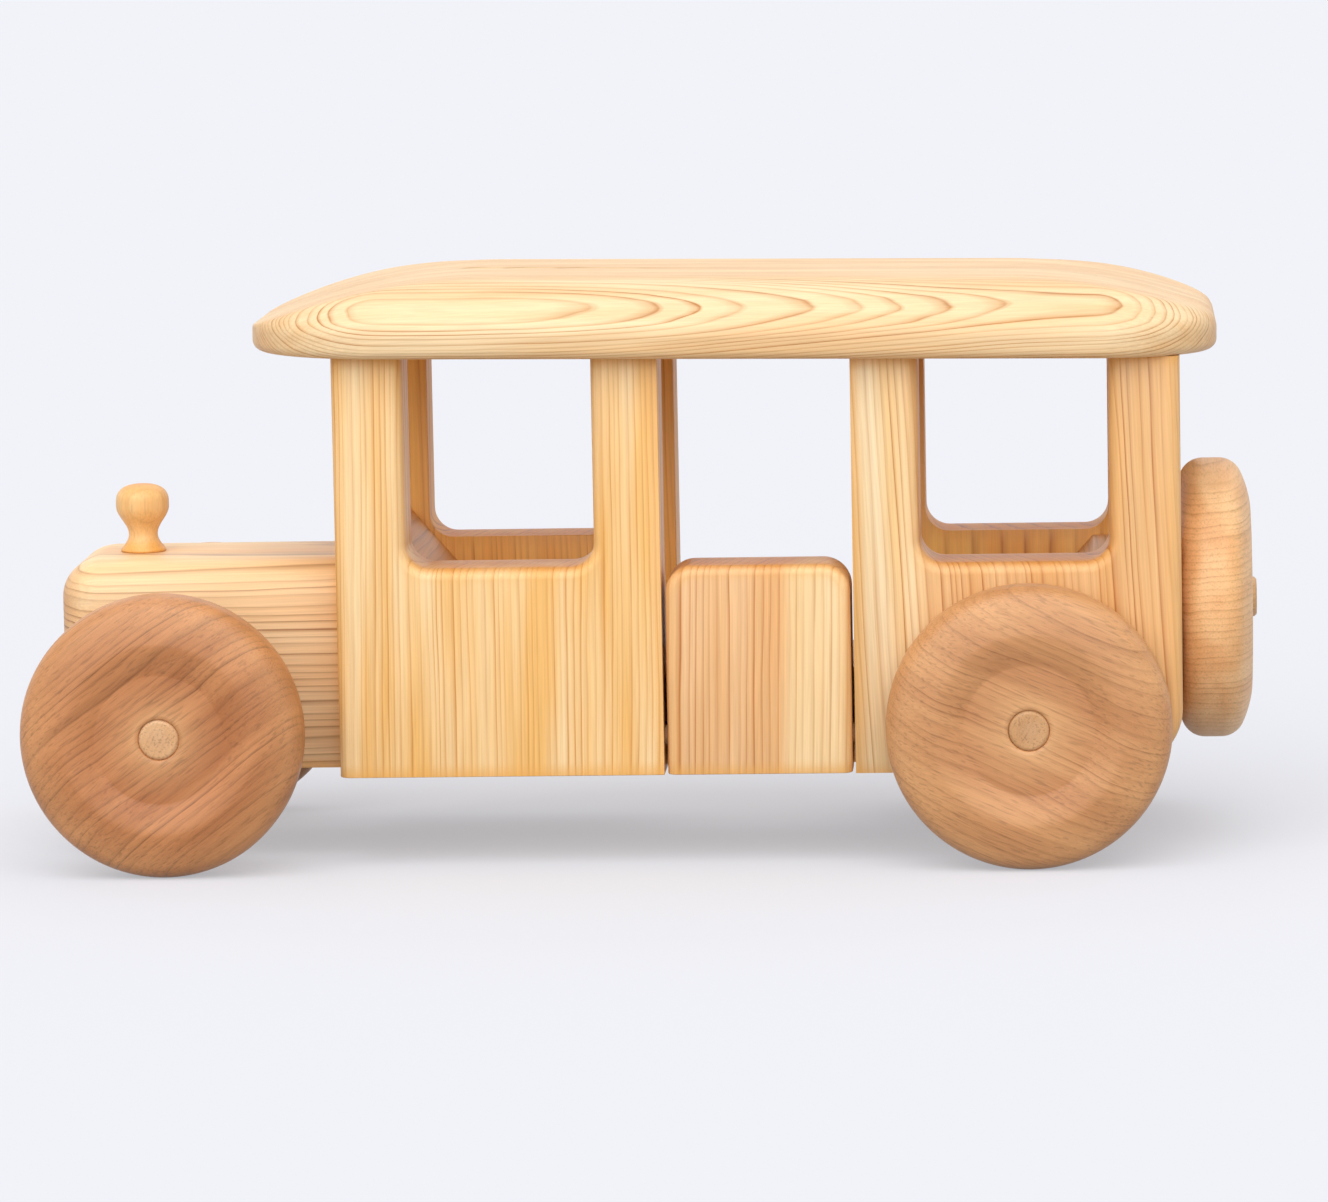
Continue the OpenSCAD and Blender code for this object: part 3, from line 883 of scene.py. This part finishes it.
def cap_section():
    """Section of the cap from its tenon over the hollow neck and the bulging head to a flat dome."""
    shares = [i / CAP_STEPS for i in range(CAP_STEPS + 1)]
    tenon = [(0.0, -CAP_TENON_LENGTH), (CAP_TENON_RADIUS, -CAP_TENON_LENGTH), (CAP_TENON_RADIUS, 0.0)]
    foot = [(CAP_FOOT_RADIUS - CAP_FOOT_CUT[0], 0.0), (CAP_FOOT_RADIUS, CAP_FOOT_CUT[1])]
    neck = [
        (
            CAP_NECK_RADIUS + (CAP_FOOT_RADIUS - CAP_NECK_RADIUS) * (1 - math.sin(math.pi / 2 * t)),
            CAP_FOOT_HEIGHT + (CAP_NECK_HEIGHT - CAP_FOOT_HEIGHT) * t,
        )
        for t in shares
    ]
    head = [
        (
            CAP_NECK_RADIUS + (CAP_HEAD_RADIUS - CAP_NECK_RADIUS) * (1 - math.cos(math.pi * t)) / 2,
            CAP_NECK_HEIGHT + (CAP_HEAD_HEIGHT - CAP_NECK_HEIGHT) * t,
        )
        for t in shares[1:]
    ]
    rises = [math.sin(math.pi / 2 * t) for t in shares]
    dome = [
        (
            CAP_HEAD_RADIUS * (1 - rise**CAP_DOME_POWER) ** (1 / CAP_DOME_POWER),
            CAP_DOME_HEIGHT + (CAP_HEIGHT - CAP_DOME_HEIGHT) * rise,
        )
        for rise in rises
    ]
    return tenon + foot + neck + head + dome


cap_low, cap_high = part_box("bonnet_cap")
cap_foot = Vector(((cap_low.x + cap_high.x) / 2, (cap_low.y + cap_high.y) / 2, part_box("bonnet")[1].z))
turned("bonnet_cap", cap_section(), False, along_axis(cap_foot, UP), cap_birch)

# Roof: sizes of the crowned board, in mm. It is a hair thinner than the solid, because its steps are
# finer and its top would else stand out of the solid's box
ROOF_WIDTH = 102.0
ROOF_LENGTH = 239.1
ROOF_THICKNESS = 18.48
ROOF_FALL = math.radians(0.7)
FRONT_OVERHANG = 21.5
FRONT_CORNER = 33.0
REAR_CORNER = 30.0
CROWN_REACH = 25.5
CROWN_DROP = 13.3
CROWN_LIP = 5.5
UNDER_ROUND = 2.5
# How the top bows down towards each end, as (length, depth)
FRONT_BOW = (58.5, 12.4)
REAR_BOW = (52.0, 9.4)
# Insets of the rings on the level parts of the top and the underside
LEVEL_INSETS = (29.0, 34.0, 40.0, 46.0, 48.5)
# Radius that a corner keeps where its ring is drawn in past it
SMALLEST_CORNER = 0.01
CROWN_LIP_STEPS = 10
CROWN_STEPS = 20
UNDER_STEPS = 6


def rounded_outline(inset, corner_steps=24, side_steps=90, end_steps=24):
    """Points (x, y) of the roof's outline drawn in by inset, once round from the near front corner."""
    half = ROOF_WIDTH / 2
    front = max(FRONT_CORNER, inset)
    rear = max(REAR_CORNER, inset)
    corners = (
        ((front, front - half), FRONT_CORNER, 180, side_steps),
        ((ROOF_LENGTH - rear, rear - half), REAR_CORNER, 270, end_steps),
        ((ROOF_LENGTH - rear, half - rear), REAR_CORNER, 0, side_steps),
        ((front, half - front), FRONT_CORNER, 90, end_steps),
    )
    turns = [
        arc(centre, max(full - inset, SMALLEST_CORNER), start, start + 90, corner_steps)
        for centre, full, start, _ in corners
    ]
    points = []
    for i, turn in enumerate(turns):
        points += turn
        leave = turn[-1]
        reach = turns[(i + 1) % 4][0]
        steps = corners[i][3]
        for j in range(1, steps):
            points.append(tuple(a + (b - a) * j / steps for a, b in zip(leave, reach)))
    return points


def bow(x, length, depth):
    """How far the top has bowed down at x from its end."""
    radius = (length**2 + depth**2) / (2 * depth)
    return radius - math.sqrt(radius**2 - max(length - x, 0.0) ** 2)


def soft_max(a, b, blend=0.8):
    """The larger of two depths, with a smooth change from one to the other."""
    return max(a, b) + max(blend - abs(a - b), 0.0) ** 2 / (4 * blend)


def crown_profile():
    """(inset, drop) points of the roof's section, from the lip's foot up to the level top."""
    crown_radius = ((CROWN_REACH - CROWN_LIP) ** 2 + CROWN_DROP**2 - CROWN_LIP**2) / (
        2 * (CROWN_DROP - CROWN_LIP)
    )
    lean = math.degrees(math.atan2(crown_radius - CROWN_DROP, CROWN_REACH - CROWN_LIP))
    lip = arc((CROWN_LIP, CROWN_DROP), CROWN_LIP, 180, 180 + lean, CROWN_LIP_STEPS)
    crown = arc((CROWN_REACH, crown_radius), crown_radius, 180 + lean, 270, CROWN_STEPS)[1:]
    return lip + crown + [(inset, 0.0) for inset in LEVEL_INSETS]


def crowned_roof():
    """The roof board as one smooth crowned form."""
    rings = []
    for inset, drop in reversed(crown_profile()):
        ring = []
        for x, y in rounded_outline(inset):
            ends = max(bow(x, *FRONT_BOW), bow(ROOF_LENGTH - x, *REAR_BOW))
            ring.append((x, y, ROOF_THICKNESS - min(soft_max(drop, ends), drop + ends)))
        rings.append(ring)
    under = arc((UNDER_ROUND, UNDER_ROUND), UNDER_ROUND, 180, 270, UNDER_STEPS)
    under += [(inset, 0.0) for inset in LEVEL_INSETS]
    rings += [[(x, y, height) for x, y in rounded_outline(inset)] for inset, height in under]
    post_low, post_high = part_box("front_left_side")
    place = (
        Matrix.Translation((post_low.x, 0, post_high.z))
        @ Matrix.Rotation(ROOF_FALL, 4, "Y")
        @ Matrix.Translation((-FRONT_OVERHANG * MM, 0, 0))
    )
    work = bmesh.new()
    loops = [[work.verts.new(place @ (Vector(point) * MM)) for point in ring] for ring in rings]
    for upper, lower in zip(loops, loops[1:]):
        for i in range(len(upper)):
            j = (i + 1) % len(upper)
            work.faces.new((upper[i], upper[j], lower[j], lower[i]))
    work.faces.new(loops[0])
    work.faces.new(reversed(loops[-1]))
    return mesh_from("roof_crowned", work)


finish_piece(crowned_roof(), "roof", roof_larch)

# Boards and blocks, each with its wood
BOARDS = (
    ("front_left_side", front_left_larch),
    ("front_right_side", front_right_larch),
    ("rear_left_side", rear_left_larch),
    ("rear_right_side", rear_right_larch),
    ("side_door", door_larch),
    ("bonnet", bonnet_larch),
    ("floor_board", floor_larch),
    ("dash_block", inner_larch),
    ("tail_block", inner_larch),
)
for node, material in BOARDS:
    finish_piece(sanded_board(node), node, material)

# Dowels and pins inside the wood keep the solids' shape
for node in ("bonnet_dowels", "roof_dowels", "door_hinge_pins"):
    NODES[node].material_slots[0].material = front_birch

# Camera at the photograph's viewpoint: place in mm, turns in radians
CAMERA_PLACE = (109.25, -1746.4, 284.8)
CAMERA_YAW = 0.0604
CAMERA_PITCH = 0.1277
CAMERA_ROLL = 0.0194
FOCAL_PIXELS = 7000.0
PHOTO_WIDTH = 1328.0
SENSOR = 36.0

camera_data = bpy.data.cameras.new("camera")
camera_data.sensor_width = SENSOR
camera_data.lens = FOCAL_PIXELS / PHOTO_WIDTH * SENSOR
camera = bpy.data.objects.new("camera", camera_data)
bpy.context.scene.collection.objects.link(camera)
ahead = Vector((
    -math.sin(CAMERA_YAW) * math.cos(CAMERA_PITCH),
    math.cos(CAMERA_YAW) * math.cos(CAMERA_PITCH),
    -math.sin(CAMERA_PITCH),
))
level_right = Vector((math.cos(CAMERA_YAW), math.sin(CAMERA_YAW), 0.0))
level_up = level_right.cross(ahead)
right = math.cos(CAMERA_ROLL) * level_right - math.sin(CAMERA_ROLL) * level_up
up = math.sin(CAMERA_ROLL) * level_right + math.cos(CAMERA_ROLL) * level_up
facing_photo = Matrix((right, up, -ahead)).transposed().to_4x4()
camera.matrix_world = Matrix.Translation(Vector(CAMERA_PLACE) * MM) @ facing_photo
bpy.context.scene.camera = camera

# Matt paper floor that fills the view; half its side in metres
FLOOR_HALF = 30.0
PAPER_GLOW = 0.45
paper = bpy.data.materials.new("pale_paper")
paper.use_nodes = True
paper.node_tree.nodes.clear()
matt = add_node(paper.node_tree, "ShaderNodeBsdfDiffuse", {"Color": linear("#A8A9AD")})
# The paper glows a little to the eye, so that its shadows stay pale as on a lit table
floor_seen = seen_by_eye(paper.node_tree)
floor_glow = add_node(
    paper.node_tree, "ShaderNodeMath", {0: floor_seen, 1: PAPER_GLOW}, operation="MULTIPLY"
)
lit = add_node(
    paper.node_tree,
    "ShaderNodeEmission",
    {"Color": linear("#F0F1F6"), "Strength": floor_glow.outputs[0]},
)
both = add_node(paper.node_tree, "ShaderNodeAddShader", {0: matt.outputs[0], 1: lit.outputs[0]})
add_node(paper.node_tree, "ShaderNodeOutputMaterial", {"Surface": both.outputs[0]})
floor_work = bmesh.new()
bmesh.ops.create_grid(floor_work, x_segments=1, y_segments=1, size=FLOOR_HALF)
floor = mesh_from("paper_floor", floor_work)
floor.data.materials.append(paper)

# Very broad soft lamps: a key from above the camera and a weaker one high behind the bus, as
# (name, direction it comes from, strength)
LAMPS = (
    ("key", (-0.08, -0.73, 0.68), 2.55),
    ("top", (0.15, 0.35, 0.92), 0.6),
)
LAMP_WIDTH = math.radians(80)
for lamp_name, lamp_from, strength in LAMPS:
    lamp_data = bpy.data.lights.new(lamp_name, "SUN")
    lamp_data.energy = strength
    lamp_data.angle = LAMP_WIDTH
    lamp = bpy.data.objects.new(lamp_name, lamp_data)
    lamp.rotation_mode = "QUATERNION"
    lamp.rotation_quaternion = Vector(lamp_from).to_track_quat("Z", "Y")
    bpy.context.scene.collection.objects.link(lamp)

# An even white studio: dim as fill light, and bright where the oiled wood reflects it
FILL = 0.55
REFLECTED = 1.0
world = bpy.data.worlds.new("studio")
bpy.context.scene.world = world
world.use_nodes = True
studio = world.node_tree.nodes["Background"]
studio.inputs["Color"].default_value = linear("#FAFBFF")
studio_level = add_node(
    world.node_tree,
    "ShaderNodeMapRange",
    {"Value": seen_by_eye(world.node_tree), "To Min": FILL, "To Max": REFLECTED},
)
world.node_tree.links.new(studio_level.outputs[0], studio.inputs["Strength"])
bpy.context.scene.view_settings.view_transform = "Standard"
